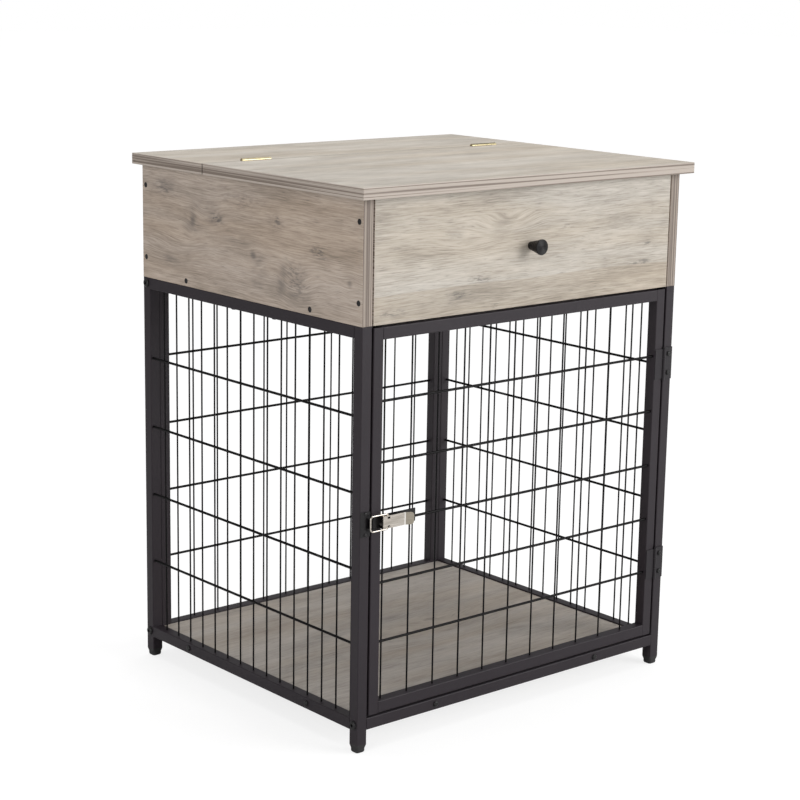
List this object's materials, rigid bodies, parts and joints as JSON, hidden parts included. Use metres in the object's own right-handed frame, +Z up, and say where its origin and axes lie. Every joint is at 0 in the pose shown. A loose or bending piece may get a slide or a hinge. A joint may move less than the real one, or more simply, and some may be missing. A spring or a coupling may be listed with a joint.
{
  "type": "dog crate end table",
  "caption": "Small dog crate with steel tube frame, mesh walls and latched mesh door, carrying a laminated board storage box whose hinged lid is the table top.",
  "frame": {"origin": "on the floor, at the middle of the whole outline (knob face to rear edge of the top, side edge to side edge)", "axes": "+Z up, +X to the right along the door side as seen from in front, the door and knob face -Y"},
  "size_m": [0.5944, 0.515, 0.7375],
  "materials": {
    "powder_coated_steel": "satin powder coat",
    "grey_oak_laminate": "matt grey-washed oak laminate",
    "floor_laminate": "matt dark grey wood laminate",
    "black_steel": "satin black",
    "nickel_plated_steel": "bright nickel plate",
    "zinc_steel": "bright zinc plate",
    "brass": "polished",
    "black_plastic": "moulded matt black",
    "beech_wood": "raw beech"
  },
  "bodies": {
    "crate_frame": {"front_left_post": "powder_coated_steel", "front_right_post": "powder_coated_steel", "rear_left_post": "powder_coated_steel", "rear_right_post": "powder_coated_steel", "left_bottom_rail": "powder_coated_steel", "left_top_rail": "powder_coated_steel", "back_left_stile": "powder_coated_steel", "left_mesh": "powder_coated_steel", "right_bottom_rail": "powder_coated_steel", "right_top_rail": "powder_coated_steel", "back_right_stile": "powder_coated_steel", "right_mesh": "powder_coated_steel", "front_bottom_rail": "powder_coated_steel", "back_bottom_rail": "powder_coated_steel", "back_top_rail": "powder_coated_steel", "back_mesh": "powder_coated_steel", "foot_plugs": "black_plastic", "frame_bolts": "black_steel", "floor_board": "floor_laminate", "floor_screws": "black_steel", "box_left_panel": "grey_oak_laminate", "box_right_panel": "grey_oak_laminate", "box_front_panel": "grey_oak_laminate", "box_back_panel": "grey_oak_laminate", "box_base": "grey_oak_laminate", "rear_top_board": "grey_oak_laminate", "panel_screws": "black_steel", "box_to_frame_screws": "black_steel", "rear_board_dowels": "beech_wood", "knob": "black_steel", "knob_screw": "zinc_steel", "lid_hinge_left_fixed_leaf": "brass", "lid_hinge_left_pin": "brass", "lid_hinge_right_fixed_leaf": "brass", "lid_hinge_right_pin": "brass", "lid_hinge_fixed_screws": "brass", "door_hinge_lower_post_leaf": "black_steel", "door_hinge_lower_pin": "black_steel", "door_hinge_upper_post_leaf": "black_steel", "door_hinge_upper_pin": "black_steel", "door_hinge_screws": "black_steel", "latch_catch": "black_steel", "latch_catch_screws": "black_steel"},
    "top_lid": {"lid": "grey_oak_laminate", "lid_hinge_left_moving_leaf": "brass", "lid_hinge_right_moving_leaf": "brass", "lid_hinge_moving_screws": "brass"},
    "crate_door": {"door_latch_stile": "powder_coated_steel", "door_hinge_stile": "powder_coated_steel", "door_top_rail": "powder_coated_steel", "door_bottom_rail": "powder_coated_steel", "door_mesh": "powder_coated_steel", "door_hinge_lower_door_leaf": "black_steel", "door_hinge_upper_door_leaf": "black_steel", "latch_base": "black_steel", "latch_lever_pin": "nickel_plated_steel"},
    "latch_handle": {"latch_lever": "nickel_plated_steel"},
    "latch_loop": {"latch_bail": "nickel_plated_steel"}
  },
  "joints": [
    {"name": "lid_hinge", "type": "hinge", "parent": "crate_frame", "child": "top_lid", "pos_m": [0, 0.0875, 0.73476], "axis": [-1, 0, 0], "range_deg": [0, 180]},
    {"name": "door_hinge", "type": "hinge", "parent": "crate_frame", "child": "crate_door", "pos_m": [0.26668, -0.2374, 0.30303], "axis": [0, 0, 1], "range_deg": [0, 160]},
    {"name": "latch_lever_pivot", "type": "hinge", "parent": "crate_door", "child": "latch_handle", "pos_m": [-0.25068, -0.2412, 0.30703], "axis": [0, 0, -1], "range_deg": [0, 100]},
    {"name": "latch_loop_pivot", "type": "hinge", "parent": "latch_handle", "child": "latch_loop", "pos_m": [-0.24368, -0.2412, 0.30703], "axis": [0, 0, -1], "range_deg": [-80, 0]}
  ],
  "couplings": [
    {"joint": "latch_loop_pivot", "follows": "latch_lever_pivot", "ratio": -0.8}
  ]
}
